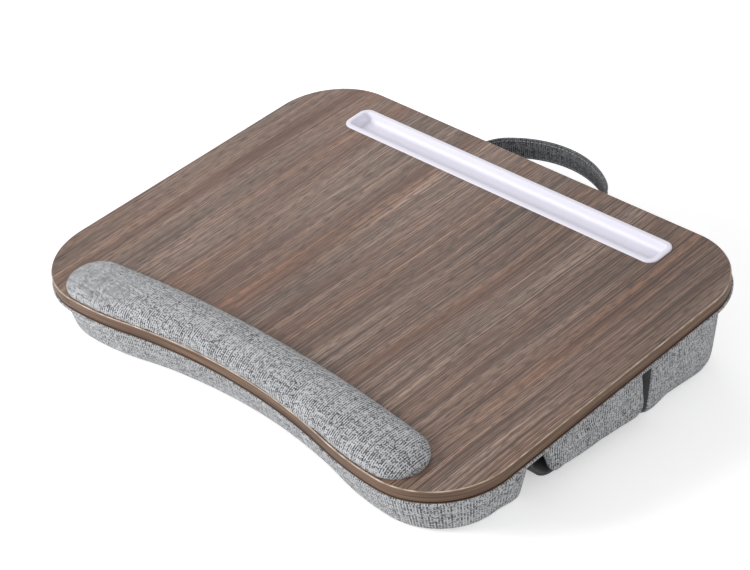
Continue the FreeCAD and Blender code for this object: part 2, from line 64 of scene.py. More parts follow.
def linear(hex_colour):
    """sRGB hex colour as the linear colour that a shader takes."""
    parts = [int(hex_colour[at:at + 2], 16) / 255 for at in (1, 3, 5)]
    light = [part / 12.92 if part <= 0.04045 else ((part + 0.055) / 1.055) ** 2.4 for part in parts]
    return (*light, 1.0)


def add(tree, kind, inputs=None, stops=None, **settings):
    """Adds a node with its settings and ramp stops; an input is a value or another node's socket."""
    made = tree.nodes.new(kind)
    for name, value in settings.items():
        setattr(made, name, value)
    for place, (position, colour) in enumerate(stops or []):
        points = made.color_ramp.elements
        point = points[place] if place < 2 else points.new(position)
        point.position = position
        point.color = linear(colour) if isinstance(colour, str) else (colour, colour, colour, 1.0)
    for key, value in (inputs or {}).items():
        if isinstance(value, bpy.types.NodeSocket):
            tree.links.new(value, made.inputs[key])
        else:
            made.inputs[key].default_value = value
    return made


def new_material(name, **surface):
    """An empty material; the surface values are set on its shader's own sockets."""
    material = bpy.data.materials.new(name)
    material.use_nodes = True
    shader = material.node_tree.nodes["Principled BSDF"]
    for key, value in surface.items():
        shader.inputs[key.replace("_", " ")].default_value = value
    return material, material.node_tree, shader


def finish_with(piece, *materials):
    """Gives a piece its materials in slot order."""
    piece.data.materials.clear()
    for material in materials:
        piece.data.materials.append(material)


# Printed walnut laminate: grey-brown, with its grain along Y. Bands some 15 mm wide carry streaks of
# 1 to 3 mm, warm and dark growth lines, and pores. Real pores are about 0.2 mm wide, too fine to
# show, so they are drawn 1 mm wide and 15 mm long.
walnut, tree, shader = new_material("walnut_laminate", Roughness=0.5)
shader.inputs["Specular IOR Level"].default_value = 0.35
here = add(tree, "ShaderNodeTexCoord").outputs["Object"]
turn_back = Matrix.Rotation(-wedge, 4, "X")
flat = add(tree, "ShaderNodeMapping", {
    "Vector": here, "Rotation": (-wedge, 0, 0), "Location": turn_back @ -board_centre,
}).outputs[0]
wander_at = add(tree, "ShaderNodeMapping", {"Vector": flat, "Scale": (6.0, 2.4, 1.0)}).outputs[0]
wander = add(tree, "ShaderNodeTexNoise", {"Vector": wander_at, "Scale": 1.0, "Detail": 2.0}).outputs[0]
shift = add(tree, "ShaderNodeMath", {0: wander, 1: 0.020}, operation="MULTIPLY").outputs[0]
sideways = add(tree, "ShaderNodeCombineXYZ", {"X": shift}).outputs[0]
grain_at = add(tree, "ShaderNodeVectorMath", {0: flat, 1: sideways}).outputs[0]
bands_at = add(tree, "ShaderNodeMapping", {"Vector": grain_at, "Scale": (60.0, 2.0, 1.0)}).outputs[0]
bands = add(tree, "ShaderNodeTexNoise", {"Vector": bands_at, "Scale": 1.0, "Detail": 3.0}).outputs[0]
streaks_at = add(tree, "ShaderNodeMapping", {"Vector": grain_at, "Scale": (760.0, 5.0, 1.0)}).outputs[0]
streaks = add(tree, "ShaderNodeTexNoise", {
    "Vector": streaks_at, "Scale": 1.0, "Detail": 3.0, "Roughness": 0.72}).outputs[0]
both = add(tree, "ShaderNodeMix", {"Factor": 0.34, 2: streaks, 3: bands}).outputs[0]
wood = add(tree, "ShaderNodeValToRGB", {0: both}, stops=[
    (0.36, "#4B3B32"), (0.63, "#B0988A"), (0.45, "#746055"), (0.54, "#937D70"),
]).outputs[0]
warm_at = add(tree, "ShaderNodeMapping", {
    "Vector": grain_at, "Scale": (26.0, 1.9, 1.0), "Location": (3.0, 0, 0)}).outputs[0]
warmth = add(tree, "ShaderNodeTexNoise", {"Vector": warm_at, "Scale": 1.0, "Detail": 3.0}).outputs[0]
warm_share = add(tree, "ShaderNodeValToRGB", {0: warmth}, stops=[(0.42, 0.0), (0.68, 0.7)]).outputs[0]
warmed = add(tree, "ShaderNodeMix", {
    "Factor": warm_share, 6: wood, 7: linear("#B5876C"),
}, data_type="RGBA", blend_type="SOFT_LIGHT").outputs[2]
rings_at = add(tree, "ShaderNodeMapping", {
    "Vector": grain_at, "Scale": (1.0, 0.16, 1.0), "Location": (0.085, 0.012, 0.0)}).outputs[0]
rings = add(tree, "ShaderNodeTexWave", {
    "Vector": rings_at, "Scale": 26.0, "Distortion": 1.6, "Detail": 2.0, "Detail Scale": 1.4},
    wave_type="RINGS", rings_direction="Z", wave_profile="SAW").outputs[1]
ring_share = add(tree, "ShaderNodeValToRGB", {0: rings}, stops=[(0.1, 0.0), (0.95, 0.28)]).outputs[0]
ringed = add(tree, "ShaderNodeMix", {
    "Factor": ring_share, 6: warmed, 7: linear("#57483F")}, data_type="RGBA").outputs[2]
lines_at = add(tree, "ShaderNodeMapping", {
    "Vector": grain_at, "Scale": (600.0, 2.4, 1.0), "Location": (5.0, 0, 0)}).outputs[0]
lines = add(tree, "ShaderNodeTexNoise", {"Vector": lines_at, "Scale": 1.0, "Detail": 1.0}).outputs[0]
line_share = add(tree, "ShaderNodeValToRGB", {0: lines}, stops=[(0.49, 0.0), (0.62, 0.85)]).outputs[0]
# The dark lines stand closer and stronger towards the right-hand end of the sheet.
across = add(tree, "ShaderNodeSeparateXYZ", {0: grain_at}).outputs[0]
denser = add(tree, "ShaderNodeMapRange", {
    "Value": across, "From Min": -0.2, "From Max": 0.1, "To Min": 0.35, "To Max": 1.0}).outputs[0]
line_share = add(tree, "ShaderNodeMath", {0: line_share, 1: denser}, operation="MULTIPLY").outputs[0]
lined = add(tree, "ShaderNodeMix", {
    "Factor": line_share, 6: ringed, 7: linear("#44342D")}, data_type="RGBA").outputs[2]
pores_at = add(tree, "ShaderNodeMapping", {"Vector": grain_at, "Scale": (900.0, 70.0, 1.0)}).outputs[0]
pores = add(tree, "ShaderNodeTexNoise", {"Vector": pores_at, "Scale": 1.0, "Detail": 1.0}).outputs[0]
pore_share = add(tree, "ShaderNodeValToRGB", {0: pores}, stops=[(0.50, 0.0), (0.66, 0.75)]).outputs[0]
pored = add(tree, "ShaderNodeMix", {
    "Factor": pore_share, 6: lined, 7: linear("#43352E")}, data_type="RGBA").outputs[2]
clouds_at = add(tree, "ShaderNodeMapping", {
    "Vector": grain_at, "Scale": (13.0, 4.5, 1.0), "Location": (7.0, 2.0, 0)}).outputs[0]
clouds = add(tree, "ShaderNodeTexNoise", {"Vector": clouds_at, "Scale": 1.0, "Detail": 2.0}).outputs[0]
cloud_tone = add(tree, "ShaderNodeMapRange", {
    "Value": clouds, "From Min": 0.3, "From Max": 0.7, "To Min": 0.80, "To Max": 1.16}).outputs[0]
printed = add(tree, "ShaderNodeVectorMath", {0: pored, "Scale": cloud_tone}, operation="SCALE").outputs[0]
tree.links.new(printed, shader.inputs["Base Color"])
press = add(tree, "ShaderNodeBump", {"Strength": 0.25, "Distance": 0.0002, "Height": pores}, invert=True)
tree.links.new(press.outputs[0], shader.inputs["Normal"])

finish_with(cad["top_laminate"], walnut)

# ---- Board core and backing
# The core is 8.6 mm of medium-density fibreboard and its underside has a plain balancing sheet.
# Both show only inside the tray's slot, and the fibres of the core are too fine to see.

# Medium-density fibreboard, sawn: tan and matt.
fibreboard, tree, shader = new_material("fibreboard", Roughness=0.85)
here = add(tree, "ShaderNodeTexCoord").outputs["Object"]
fibres = add(tree, "ShaderNodeTexNoise", {"Vector": here, "Scale": 900.0, "Detail": 3.0}).outputs[0]
tan = add(tree, "ShaderNodeValToRGB", {0: fibres}, stops=[(0.3, "#8F7350"), (0.7, "#B4976F")]).outputs[0]
tree.links.new(tan, shader.inputs["Base Color"])
finish_with(cad["desk_board"], fibreboard)

# Balancing laminate, pressed smooth: plain brown paper under resin.
balance, tree, shader = new_material("balance_laminate", Roughness=0.6)
here = add(tree, "ShaderNodeTexCoord").outputs["Object"]
paper = add(tree, "ShaderNodeTexNoise", {"Vector": here, "Scale": 350.0, "Detail": 4.0}).outputs[0]
brown = add(tree, "ShaderNodeValToRGB", {0: paper}, stops=[(0.3, "#6B5A50"), (0.7, "#7C6A5E")]).outputs[0]
tree.links.new(brown, shader.inputs["Base Color"])
finish_with(cad["balance_sheet"], balance)

# ---- Edge band
# A 1 mm walnut-print strip is ironed round the board's edge and its top corner is bevelled, which bares a
# paler line.
# That line is drawn paler still, as a painted highlight where the edge catches the light. The print's grain
# runs along the strip.
half_width, half_depth = 260.0, 197.75
front_corner_r, rear_corner_r = 72.0, 67.5
board_t, band_t, bevel = 10.0, 1.0, 0.9


def arc(x, y, radius, start, end, count):
    """Points along an arc in the board's plane, from one angle to the other."""
    turns = np.radians(np.linspace(start, end, count))
    return np.column_stack((x + radius * np.cos(turns), y + radius * np.sin(turns)))


def front_line(inset, run, sweep=19.6, turn_x=122.0):
    """The hollow front edge from left to right: shoulder, hollow, shoulder."""
    angle = 2 * math.atan(sweep / run)
    hollow_r = turn_x / math.sin(angle)
    shoulder_r = (run - turn_x) / math.sin(angle)
    shoulder_y = shoulder_r - half_depth
    turn = math.degrees(angle)
    return [
        arc(-run, shoulder_y, shoulder_r - inset, 270, 270 + turn, 24),
        arc(0, sweep - half_depth - hollow_r, hollow_r + inset, 90 + turn, 90 - turn, 60),
        arc(run, shoulder_y, shoulder_r - inset, 270 - turn, 270, 24),
    ]


def board_line(inset):
    """The board's outline, set in evenly."""
    front_r, rear_r = front_corner_r - inset, rear_corner_r - inset
    x, y = half_width - front_corner_r, half_depth - front_corner_r
    rear_x, rear_y = half_width - rear_corner_r, half_depth - rear_corner_r
    return np.vstack(front_line(inset, x) + [
        arc(x, -y, front_r, 270, 360, 40), arc(rear_x, rear_y, rear_r, 0, 90, 40),
        arc(-rear_x, rear_y, rear_r, 90, 180, 40), arc(-x, -y, front_r, 180, 270, 40),
    ])


def evenly(points, step):
    """A closed line's points at even steps, and how far along each one is. Only the first two
    columns are measured; the others are carried along."""
    ring = np.vstack((points, points[:1]))
    along = np.r_[0.0, np.cumsum(np.linalg.norm(np.diff(ring[:, :2], axis=0), axis=1))]
    places = np.linspace(0.0, along[-1], int(along[-1] / step) + 1)
    return np.column_stack([np.interp(places, along, column) for column in ring.T])[:-1], places


def outward(line):
    """Unit outward direction at each point of a closed line that runs anticlockwise."""
    along = np.roll(line, -1, axis=0) - np.roll(line, 1, axis=0)
    side = np.column_stack((along[:, 1], -along[:, 0]))
    return side / np.linalg.norm(side, axis=1)[:, None]


def in_row(points):
    """Points from the board's frame, in millimetres, to the row's, in metres."""
    turned = np.array(board_place.to_3x3()) @ (np.asarray(points, float).reshape(-1, 3).T / 1000)
    return turned.T + np.array(board_place.translation)


def new_piece(name, points, faces, cloth, materials, smooth_deg=40):
    """A mesh piece from points in metres, faces, and each corner's place on the cloth in metres."""
    mesh = bpy.data.meshes.new(name)
    mesh.from_pydata([tuple(point) for point in points], [], faces)
    layer = mesh.uv_layers.new(name="cloth")
    layer.data.foreach_set("uv", np.asarray(cloth, np.float32).ravel())
    shell = bmesh.new()
    shell.from_mesh(mesh)
    bmesh.ops.recalc_face_normals(shell, faces=shell.faces)
    shell.to_mesh(mesh)
    shell.free()
    piece = bpy.data.objects.new(name, mesh)
    bpy.context.scene.collection.objects.link(piece)
    mesh.polygons.foreach_set("use_smooth", [True] * len(mesh.polygons))
    mesh.set_sharp_from_angle(angle=math.radians(smooth_deg))
    for material in materials:
        mesh.materials.append(material)
    return piece


def skin(name, rows, cloth, materials, torus=False, start=False, end=False, smooth_deg=40):
    """A skin through rows of points that run round the same closed line, with flat ends where asked.
    cloth gives each point's place on the flat material, with one column more to close the line."""
    rows, cloth = np.asarray(rows), np.asarray(cloth) / 1000
    count, width = rows.shape[:2]
    faces, places = [], []
    for low in range(count if torus else count - 1):
        high = (low + 1) % count
        for left in range(width):
            right = (left + 1) % width
            faces.append((
                low * width + left, low * width + right, high * width + right, high * width + left))
            places += [*cloth[low][left:left + 2], *cloth[low + 1][left:left + 2][::-1]]
    for wanted, row, order in ((start, 0, -1), (end, count - 1, 1)):
        if wanted:
            wide = np.sort(np.argsort(np.ptp(rows[row], axis=0))[1:])
            faces.append(tuple(row * width + column for column in range(width))[::order])
            places += [point[wide] / 1000 for point in rows[row]][::order]
    return new_piece(name, in_row(rows), faces, places, materials, smooth_deg)


def unrolled(rows, along):
    """The cloth of a skin whose columns run along its first line and whose rows follow its girth."""
    rows = np.asarray(rows)
    climb = np.linalg.norm(np.diff(rows, axis=0), axis=2)
    girth = np.vstack((np.zeros(rows.shape[1]), np.cumsum(climb, axis=0)))
    girth = np.column_stack((girth, girth[:, 0]))
    return np.dstack((np.repeat(along[None, :], len(rows), axis=0), girth))


def swept(name, line, section, step, materials, **ends):
    """A skin that carries (outward, z) points of a section round a closed line."""
    path, along = evenly(line, step)
    side = outward(path)
    rows = [np.column_stack((path + out * side, np.full(len(path), z))) for out, z in section]
    closed = rows + rows[:1] if ends.get("torus") else rows
    return skin(name, rows, unrolled(closed, along), materials, **ends)


# Melamine edge band: the same print as the face, with its grain along the strip.
edging, tree, shader = new_material("edge_band", Roughness=0.45)
shader.inputs["Specular IOR Level"].default_value = 0.4
place = add(tree, "ShaderNodeUVMap", uv_map="cloth").outputs[0]
lines_at = add(tree, "ShaderNodeMapping", {"Vector": place, "Scale": (9.0, 420.0, 1.0)}).outputs[0]
lines = add(tree, "ShaderNodeTexNoise", {"Vector": lines_at, "Scale": 1.0, "Detail": 4.0}).outputs[0]
print_tone = add(tree, "ShaderNodeValToRGB", {0: lines}, stops=[
    (0.32, "#47352A"), (0.70, "#94765F"), (0.45, "#644C3D"), (0.56, "#7A604D")]).outputs[0]
patches = add(tree, "ShaderNodeTexNoise", {"Vector": place, "Scale": 22.0, "Detail": 2.0}).outputs[0]
tone = add(tree, "ShaderNodeMix", {
    "Factor": add(tree, "ShaderNodeMath", {0: patches, 1: 0.5}, operation="MULTIPLY").outputs[0],
    6: print_tone, 7: linear("#665041")}, data_type="RGBA").outputs[2]
tree.links.new(tone, shader.inputs["Base Color"])
# Bared bevel of the strip: paler, with faint saw marks; its pale stops also paint the highlight on the
# edge.
bared_and_lit, tree, shader = new_material("edge_band_bevel", Roughness=0.5)
place = add(tree, "ShaderNodeUVMap", uv_map="cloth").outputs[0]
wear = add(tree, "ShaderNodeTexNoise", {"Vector": place, "Scale": 70.0, "Detail": 4.0}).outputs[0]
pale = add(tree, "ShaderNodeValToRGB", {0: wear}, stops=[(0.38, "#8C7868"), (0.62, "#CFBDAA")]).outputs[0]
tree.links.new(pale, shader.inputs["Base Color"])

band_section = [(-band_t, 0.0), (-bevel, 0.0), (-0.12, -0.62), (0.0, -0.9)]
band_section += [(0.0, 0.4 - board_t), (-0.3, -board_t), (-band_t, -board_t)]
band = swept("board_edge", board_line(0.0), band_section, 2.0, [edging, bared_and_lit], torus=True, smooth_deg=50)
# The second strip of faces is the bevel.
columns = len(band.data.polygons) // len(band_section)
for face in band.data.polygons:
    face.material_index = 1 if face.index // columns == 1 else 0
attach(band, "desk")
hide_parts("edge_band")

# ---- Media tray
# The phone and pen tray is moulded in white ABS and dropped into a slot in the board.
# Its rim lies on the face, and its walls run down in one round sweep to a flat floor.
tray_half_length, tray_half_width, tray_y = 187.5, 17.0, 155.0
tray_corner_r, rim_height, floor_turn_r = 10.0, 1.4, 4.3


def tray_line(inset):
    """The tray's rounded outline, set in evenly."""
    x, y = tray_half_length - tray_corner_r, tray_half_width - tray_corner_r
    left = tray_corner_r - inset
    return np.vstack([
        arc(x, tray_y - y, left, 270, 360, 16), arc(x, tray_y + y, left, 0, 90, 16),
        arc(-x, tray_y + y, left, 90, 180, 16), arc(-x, tray_y - y, left, 180, 270, 16),
    ])


# White ABS, moulded with a satin skin: almost no texture, a faint cool tint and soft gloss.
white_plastic, tree, shader = new_material("white_plastic", Roughness=0.5)
shader.inputs["Base Color"].default_value = linear("#E6E4EF")
here = add(tree, "ShaderNodeTexCoord").outputs["Object"]
skin_grain = add(tree, "ShaderNodeTexNoise", {"Vector": here, "Scale": 1800.0, "Detail": 2.0}).outputs[0]
tree.links.new(add(tree, "ShaderNodeBump", {
    "Strength": 0.08, "Distance": 0.0001, "Height": skin_grain}).outputs[0], shader.inputs["Normal"])

# (inset, z) from the underside up the outer wall, over the rim, and down inside to the floor.
tray_section = [(3.4, -9.4), (3.4, 0.0), (0.0, 0.0), (0.0, 0.55), (0.15, 1.0), (0.45, 1.28)]
tray_section += [(0.9, rim_height), (4.3, rim_height), (4.7, 1.26), (4.95, 0.9), (5.05, 0.4), (5.3, -3.4)]
for turn in np.radians((10, 30, 50, 70, 90)):
    tray_section.append((9.6 - floor_turn_r * math.cos(turn), -3.5 - floor_turn_r * math.sin(turn)))
tray_rows = [np.column_stack((tray_line(inset), np.full(64, z))) for inset, z in tray_section]
tray_ring = np.vstack((tray_line(0), tray_line(0)[:1]))
tray_along = np.r_[0.0, np.cumsum(np.linalg.norm(np.diff(tray_ring, axis=0), axis=1))]
media_tray = skin("phone_tray", tray_rows, unrolled(tray_rows, tray_along), [white_plastic],
                  start=True, end=True, smooth_deg=35)
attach(media_tray, "desk")
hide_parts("media_tray")

# ---- Wrist rest
# A foam core under a sewn heather cover, glued to the face along the hollow front edge.
# It is widest just above the board, tucks in under its own edge and swells to a soft crown.
rest_half_length, rest_inset, rest_depth, rest_drop = 211.5, 1.0, 66.75, 14.5
rest_wall, rest_crown, rest_end_fall = 4.4, 12.8, 0.22


def heather(name, pitch, light, dark, share, ribs=0.6, slub=250.0):
    """Plain-woven heather polyester: light and charcoal fibres are spun into each yarn, so every yarn
    changes tone along its length, in slubs of about 4 mm, and the surface is matt with a soft sheen.
    pitch is the spacing of the yarns in metres. The weave is drawn about twice as coarse as the
    real one, which would be too fine to show. share is where dark turns to light."""
    material, tree, shader = new_material(name, Roughness=0.9)
    shader.inputs["Sheen Weight"].default_value = 0.25
    shader.inputs["Sheen Roughness"].default_value = 0.5
    shader.inputs["Specular IOR Level"].default_value = 0.2

    place = add(tree, "ShaderNodeUVMap", uv_map="cloth").outputs[0]
    here = add(tree, "ShaderNodeSeparateXYZ", {0: place}).outputs
    counted = add(tree, "ShaderNodeVectorMath", {
        0: place, 1: (pitch, pitch, 1.0)}, operation="DIVIDE").outputs[0]
    yarns = add(tree, "ShaderNodeVectorMath", {0: counted}, operation="FLOOR").outputs[0]
    warp, weft = add(tree, "ShaderNodeSeparateXYZ", {0: yarns}).outputs[:2]
    # Each yarn reads its own line of the noise: 7.31 and 5.17 only keep neighbours unlike.
    warp_line = add(tree, "ShaderNodeCombineXYZ", {"X": warp, "Y": here[1]}).outputs[0]
    warp_at = add(tree, "ShaderNodeVectorMath", {
        0: warp_line, 1: (7.31, slub, 1.0)}, operation="MULTIPLY").outputs[0]
    warp_tone = add(tree, "ShaderNodeTexNoise", {"Vector": warp_at, "Scale": 1.0, "Detail": 2.0}).outputs[0]
    weft_line = add(tree, "ShaderNodeCombineXYZ", {"X": here[0], "Y": weft, "Z": 9.0}).outputs[0]
    weft_at = add(tree, "ShaderNodeVectorMath", {
        0: weft_line, 1: (slub, 5.17, 1.0)}, operation="MULTIPLY").outputs[0]
    weft_tone = add(tree, "ShaderNodeTexNoise", {"Vector": weft_at, "Scale": 1.0, "Detail": 2.0}).outputs[0]
    # Plain weave: warp and weft lie on top by turns.
    crossing = add(tree, "ShaderNodeVectorMath", {0: yarns, 1: (1.0, 1.0, 0.0)}, operation="DOT_PRODUCT")
    over = add(tree, "ShaderNodeMath", {
        0: crossing.outputs["Value"], 1: 2.0}, operation="FLOORED_MODULO").outputs[0]
    tone = add(tree, "ShaderNodeMix", {"Factor": over, 2: warp_tone, 3: weft_tone}).outputs[0]
    # Whole yarns differ a little, and so does each crossing.
    warp_yarn = add(tree, "ShaderNodeTexWhiteNoise", {"W": warp}, noise_dimensions="1D").outputs[0]
    weft_place = add(tree, "ShaderNodeMath", {0: weft, 1: 0.5}, operation="ADD").outputs[0]
    weft_yarn = add(tree, "ShaderNodeTexWhiteNoise", {"W": weft_place}, noise_dimensions="1D").outputs[0]
    yarn = add(tree, "ShaderNodeMix", {"Factor": over, 2: warp_yarn, 3: weft_yarn}).outputs[0]
    cell = add(tree, "ShaderNodeTexWhiteNoise", {"Vector": yarns}, noise_dimensions="2D").outputs[0]
    yarn_share, cell_share, rib_share = ribs * 0.3, 0.25, ribs * 0.17
    tone = add(tree, "ShaderNodeMath", {
        0: yarn, 1: yarn_share, 2: tone}, operation="MULTIPLY_ADD").outputs[0]
    tone = add(tree, "ShaderNodeMath", {
        0: cell, 1: cell_share, 2: tone}, operation="MULTIPLY_ADD").outputs[0]
    # Every other warp yarn is darker, which makes the fine ribs up and down the cloth.
    half_turn = math.pi / pitch
    turns = add(tree, "ShaderNodeVectorMath", {
        0: place, 1: (half_turn, half_turn, 0.0)}, operation="MULTIPLY").outputs[0]
    waves = add(tree, "ShaderNodeVectorMath", {0: turns}, operation="SINE").outputs[0]
    rib, cross_rib = add(tree, "ShaderNodeSeparateXYZ", {0: waves}).outputs[:2]
    tone = add(tree, "ShaderNodeMath", {
        0: rib, 1: rib_share, 2: tone}, operation="MULTIPLY_ADD").outputs[0]
    centre = share + (yarn_share + cell_share) / 2
    colour = add(tree, "ShaderNodeValToRGB", {0: tone}, stops=[
        (centre - 0.12, dark), (centre + 0.13, light)]).outputs[0]
    # Every crossing is a small round cushion, dark where it dips between the yarns: the colour is darkened
    # there as painted shade, besides the bump.
    crossed = add(tree, "ShaderNodeMath", {0: rib, 1: cross_rib}, operation="MULTIPLY").outputs[0]
    height = add(tree, "ShaderNodeMath", {0: crossed}, operation="ABSOLUTE").outputs[0]
    gap_shade = add(tree, "ShaderNodeMath", {0: height, 1: 0.35, 2: 0.65}, operation="MULTIPLY_ADD").outputs[0]
    shaded = add(tree, "ShaderNodeVectorMath", {0: colour, "Scale": gap_shade}, operation="SCALE").outputs[0]
    tree.links.new(shaded, shader.inputs["Base Color"])
    tree.links.new(add(tree, "ShaderNodeBump", {
        "Strength": 0.6, "Distance": 0.0004, "Height": height}).outputs[0], shader.inputs["Normal"])
    return material


heather_cloth = heather("heather_fabric", 0.00110, "#DBDCDF", "#4A4C51", 0.46)


def puff(piece, held, pressure, cap, frames=8):
    """Blows a sewn cover out with a cloth simulation while its held points stay where they are
    sewn or stand, and lets no point move further than cap, in metres."""
    mesh = piece.data
    began = np.empty(len(mesh.vertices) * 3)
    mesh.vertices.foreach_get("co", began)
    sewn = piece.vertex_groups.new(name="sewn")
    sewn.add([int(point) for point in held], 1.0, "REPLACE")
    cloth = piece.modifiers.new("cover", "CLOTH")
    cloth.settings.vertex_group_mass = "sewn"
    cloth.settings.use_pressure = True
    cloth.settings.uniform_pressure_force = pressure
    cloth.settings.effector_weights.gravity = 0.0
    cloth.settings.quality = 3
    cloth.point_cache.frame_start, cloth.point_cache.frame_end = 1, frames
    for step in range(1, frames + 1):
        bpy.context.scene.frame_set(step)
    blown = piece.evaluated_get(bpy.context.evaluated_depsgraph_get()).data
    ended = np.empty_like(began)
    blown.vertices.foreach_get("co", ended)
    move = (ended - began).reshape(-1, 3)
    far = np.linalg.norm(move, axis=1)
    move *= np.minimum(1.0, cap / np.maximum(far, 1e-9))[:, None]
    piece.modifiers.remove(cloth)
    piece.vertex_groups.clear()
    bpy.context.scene.frame_set(1)
    mesh.vertices.foreach_set("co", (began.reshape(-1, 3) + move).ravel())
    mesh.update()


rest_front_y = rest_inset - half_depth
rest_rear_r = (rest_half_length ** 2 + rest_drop ** 2) / (2 * rest_drop)
rest_lead = 2 * rest_rear_r - rest_half_length - rest_depth
rest_end_r = math.sqrt(
    rest_lead ** 2 - rest_half_length ** 2 - rest_depth ** 2 + 2 * rest_rear_r * rest_depth) - rest_lead
rest_end_x, rest_end_y = rest_half_length - rest_end_r, rest_front_y + rest_end_r
rest_rear_y = rest_front_y + rest_depth - rest_rear_r
rest_turn = math.degrees(math.atan2(rest_end_y - rest_rear_y, rest_end_x))
rest_line = np.vstack(front_line(rest_inset, rest_end_x) + [
    arc(rest_end_x, rest_end_y, rest_end_r, -90, rest_turn, 40),
    arc(0, rest_rear_y, rest_rear_r, rest_turn, 180 - rest_turn, 90),
    arc(-rest_end_x, rest_end_y, rest_end_r, 180 - rest_turn, 270, 40),
])
rest_path, _ = evenly(rest_line, 3.0)


def rest_spine(x):
    """The wrist rest's middle line: halfway between its front and rear edges."""
    inner = np.clip(x, -rest_end_x, rest_end_x)
    front = np.vstack(front_line(rest_inset, rest_end_x))
    rear = rest_rear_y + np.sqrt(rest_rear_r ** 2 - inner ** 2)
    return np.column_stack((inner, (np.interp(inner, front[:, 0], front[:, 1]) + rear) / 2))


spine = rest_spine(rest_path[:, 0])
reach = rest_path - spine
lift = 1.0 - rest_end_fall * np.clip(np.abs(rest_path[:, 0]) / rest_half_length, 0, 1) ** 3
# (share of the way out from the spine, height): tucked in at the face, upright, then the crown.
rest_section = [(0.90, 0.0), (0.955, 0.25), (0.985, 1.2), (1.0, 3.0), (1.0, rest_wall)]
for turn in np.radians(np.linspace(8, 86, 14)):
    rest_section.append((math.cos(turn) ** 0.94, rest_wall + rest_crown * math.sin(turn)))
rest_rows = np.array([
    np.column_stack((spine + reach * share, height * np.where(height >= rest_wall, lift, 1.0)))
    for share, height in rest_section])
# One flat piece of cloth lies over the crown, so it is measured from the middle line outwards.
rest_fall = np.linalg.norm(np.diff(rest_rows, axis=0), axis=2)[::-1].cumsum(axis=0)[::-1]
rest_fall = np.vstack((rest_fall, np.zeros(len(spine)))) + 0.08 * np.linalg.norm(reach, axis=1)
rest_cloth = spine + rest_fall[:, :, None] * reach / np.linalg.norm(reach, axis=1)[:, None]
rest_cloth = np.concatenate((rest_cloth, rest_cloth[:, :1]), axis=1)
wrist_rest = skin("wrist_rest", rest_rows, rest_cloth, [heather_cloth], start=True, end=True, smooth_deg=80)
puff(wrist_rest, range(2 * len(spine)), 4.0, 0.0015)

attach(wrist_rest, "desk")
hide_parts("wrist_rest_cover", "wrist_rest_foam")

# Its backing board is 2 mm hardboard under the foam, and hidden once the cover is glued down.
# Hardboard, pressed wet: dark brown pulp with a dull skin.
hardboard, tree, shader = new_material("hardboard", Roughness=0.7)
here = add(tree, "ShaderNodeTexCoord").outputs["Object"]
pulp = add(tree, "ShaderNodeTexNoise", {"Vector": here, "Scale": 600.0, "Detail": 4.0}).outputs[0]
brown = add(tree, "ShaderNodeValToRGB", {0: pulp}, stops=[(0.3, "#4E3B2C"), (0.7, "#6B5340")]).outputs[0]
tree.links.new(brown, shader.inputs["Base Color"])
finish_with(cad["wrist_rest_board"], hardboard)

# ---- Mounting sheet and base panel
# Black foam tape, 0.8 mm thick, holds the board on the base. It is set back 3 mm from the edge,
# so that a dark line shows between them; its black is also painted shade for the gap there. The base panel
# is hardboard inside its fabric.

# Closed-cell foam tape: black and matt, with cells under a millimetre.
black_sheet_for_shade, tree, shader = new_material("black_foam_tape", Roughness=0.9)
here = add(tree, "ShaderNodeTexCoord").outputs["Object"]
cells = add(tree, "ShaderNodeTexVoronoi", {"Vector": here, "Scale": 1500.0}).outputs[0]
black = add(tree, "ShaderNodeValToRGB", {0: cells}, stops=[(0.2, "#0C0C0D"), (0.8, "#1E1E20")]).outputs[0]
tree.links.new(black, shader.inputs["Base Color"])
finish_with(cad["adhesive_sheet"], black_sheet_for_shade)
finish_with(cad["base_panel"], hardboard)

# ---- Base cover
# The same heather cloth is pulled round the base panel and stapled under the board. Its threads
# cross the edge, and where it turns under it catches the light as a thin bright line. This copy of the
# cloth is drawn a little paler than the rest, which paints that highlight.
base_top, underside = -10.8, -14.4
lip_cloth_lit = heather("heather_lip_lit", 0.0011, "#DCDDE0", "#505257", 0.43, ribs=0.7)
# (outward, z) from under the board, out round the lip, and in along the underside.
lip_section = [(-14.0, base_top), (-5.0, base_top), (-2.4, base_top - 0.5), (-0.9, base_top - 1.0)]
lip_section += [(0.2, base_top - 1.0), (1.0, base_top - 1.3), (1.4, base_top - 1.9)]
lip_section += [(1.2, underside + 0.8), (0.4, underside + 0.1), (-0.5, underside)]
lip_section += [(-20.0, underside), (-60.0, underside)]
base_cover = swept("base_cover", board_line(0.0), lip_section, 3.0, [lip_cloth_lit], end=True, smooth_deg=60)
sheet = base_cover.modifiers.new("cloth thickness", "SOLIDIFY")
sheet.thickness, sheet.offset = 0.0006, -1.0
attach(base_cover, "desk")
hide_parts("base_cover")

# ---- Drawer sleeve
# A tunnel of pressed charcoal felt between the bolsters, which keeps the drawer off the lap.
# Its fibres lie every way, so it is matt with pale flecks.
felt, tree, shader = new_material("charcoal_felt", Roughness=0.95)
shader.inputs["Sheen Weight"].default_value = 0.4
here = add(tree, "ShaderNodeTexCoord").outputs["Object"]
hairs = add(tree, "ShaderNodeTexNoise", {
    "Vector": here, "Scale": 900.0, "Detail": 6.0, "Roughness": 0.7}).outputs[0]
dark = add(tree, "ShaderNodeValToRGB", {0: hairs}, stops=[(0.35, "#1D1D1F"), (0.68, "#3C3D40")]).outputs[0]
tree.links.new(dark, shader.inputs["Base Color"])
tree.links.new(add(tree, "ShaderNodeBump", {
    "Strength": 0.5, "Distance": 0.0005, "Height": hairs}).outputs[0], shader.inputs["Normal"])
finish_with(cad["drawer_sleeve"], felt)

# ---- Bolsters
# Two foam wedges in sewn heather covers, wadded and taut. Their walls lean in a little from the
# base, swell between the seam and the floor, and roll under at the bottom.
depth_far, front_hollow = 152.0, 23.6
channel_front_y, channel_rear_y = -81.5, 54.5
corner_growth = 24.0


